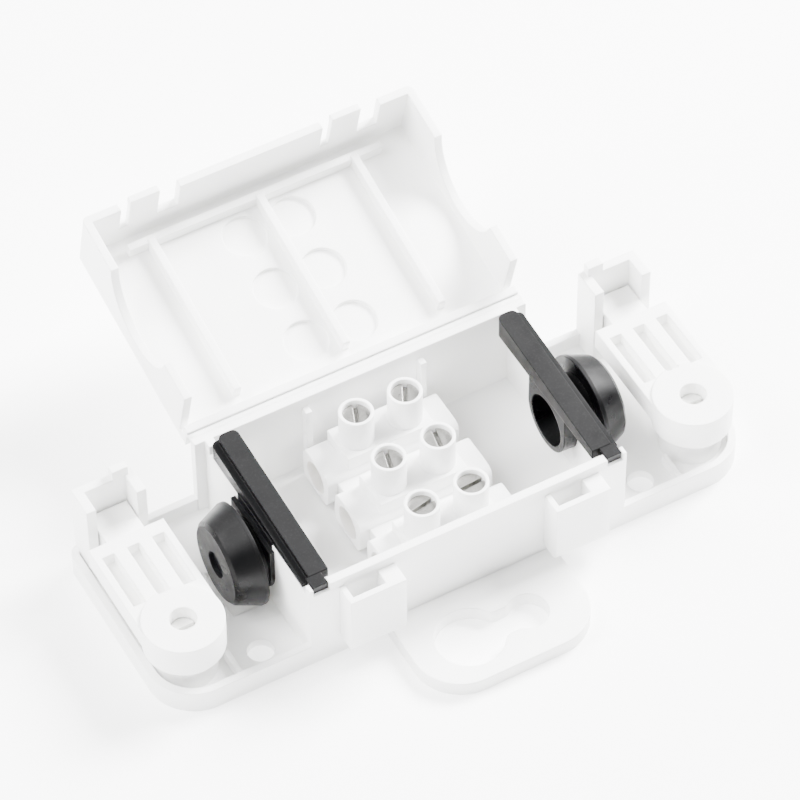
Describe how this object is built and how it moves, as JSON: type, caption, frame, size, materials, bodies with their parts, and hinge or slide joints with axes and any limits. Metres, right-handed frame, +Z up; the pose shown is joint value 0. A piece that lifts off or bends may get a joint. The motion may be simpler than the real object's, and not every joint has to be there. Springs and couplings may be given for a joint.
{
  "type": "cable junction box",
  "caption": "In-line cable junction box with a hinged lid, rubber cable grommets, screw terminals and cable clamps.",
  "frame": {"origin": "the middle of the tray's underside, midway between the two wing ends", "axes": "+X along the box towards the right wing, +Y towards the lid's hinge, +Z up out of the open chamber"},
  "size_m": [0.0992, 0.0871, 0.0341],
  "materials": {
    "white_polypropylene": "satin moulded polypropylene",
    "lid_polypropylene": "satin moulded polypropylene",
    "terminal_polypropylene": "satin moulded polypropylene",
    "strap_polypropylene": "satin moulded polypropylene",
    "grommet_rubber": "smooth moulded rubber",
    "insert_brass": "drawn bar, machined",
    "terminal_screw_steel": "zinc plated",
    "clamp_screw_nylon": "moulded nylon"
  },
  "bodies": {
    "tray": {"base_tray": "white_polypropylene", "terminal_housing": "terminal_polypropylene", "left_grommet": "grommet_rubber", "right_grommet": "grommet_rubber", "rear_brass_insert": "insert_brass", "middle_brass_insert": "insert_brass", "front_brass_insert": "insert_brass"},
    "lid_body": {"lid": "lid_polypropylene"},
    "left_clamp": {"left_clamp_strap": "strap_polypropylene"},
    "left_clamp_screw_body": {"left_clamp_screw": "clamp_screw_nylon"},
    "right_clamp": {"right_clamp_strap": "strap_polypropylene"},
    "right_clamp_screw_body": {"right_clamp_screw": "clamp_screw_nylon"},
    "rear_left_screw_body": {"rear_left_terminal_screw": "terminal_screw_steel"},
    "rear_right_screw_body": {"rear_right_terminal_screw": "terminal_screw_steel"},
    "middle_left_screw_body": {"middle_left_terminal_screw": "terminal_screw_steel"},
    "middle_right_screw_body": {"middle_right_terminal_screw": "terminal_screw_steel"},
    "front_left_screw_body": {"front_left_terminal_screw": "terminal_screw_steel"},
    "front_right_screw_body": {"front_right_terminal_screw": "terminal_screw_steel"}
  },
  "joints": [
    {"name": "lid_hinge", "type": "hinge", "parent": "tray", "child": "lid_body", "pos_m": [0, 0.0176, 0.0173], "axis": [1, 0, 0], "range_deg": [-14, 166]},
    {"name": "left_clamp_slide", "type": "slide", "parent": "tray", "child": "left_clamp", "axis": [0, 0, 1], "range_m": [0, 0.004]},
    {"name": "left_clamp_screw_turn", "type": "hinge", "parent": "left_clamp", "child": "left_clamp_screw_body", "pos_m": [-0.0432, -0.0089, 0.0085], "axis": [0, 0, 1], "continuous": true},
    {"name": "right_clamp_slide", "type": "slide", "parent": "tray", "child": "right_clamp", "axis": [0, 0, 1], "range_m": [0, 0.004]},
    {"name": "right_clamp_screw_turn", "type": "hinge", "parent": "right_clamp", "child": "right_clamp_screw_body", "pos_m": [0.0432, -0.0089, 0.0085], "axis": [0, 0, 1], "continuous": true},
    {"name": "rear_left_screw_turn", "type": "hinge", "parent": "tray", "child": "rear_left_screw_body", "pos_m": [-0.00415, 0.01, 0.0133], "axis": [0, 0, 1], "continuous": true},
    {"name": "rear_right_screw_turn", "type": "hinge", "parent": "tray", "child": "rear_right_screw_body", "pos_m": [0.00415, 0.01, 0.0133], "axis": [0, 0, 1], "continuous": true},
    {"name": "middle_left_screw_turn", "type": "hinge", "parent": "tray", "child": "middle_left_screw_body", "pos_m": [-0.00415, 0, 0.0133], "axis": [0, 0, 1], "continuous": true},
    {"name": "middle_right_screw_turn", "type": "hinge", "parent": "tray", "child": "middle_right_screw_body", "pos_m": [0.00415, 0, 0.0133], "axis": [0, 0, 1], "continuous": true},
    {"name": "front_left_screw_turn", "type": "hinge", "parent": "tray", "child": "front_left_screw_body", "pos_m": [-0.00415, -0.01, 0.0133], "axis": [0, 0, 1], "continuous": true},
    {"name": "front_right_screw_turn", "type": "hinge", "parent": "tray", "child": "front_right_screw_body", "pos_m": [0.00415, -0.01, 0.0133], "axis": [0, 0, 1], "continuous": true}
  ]
}
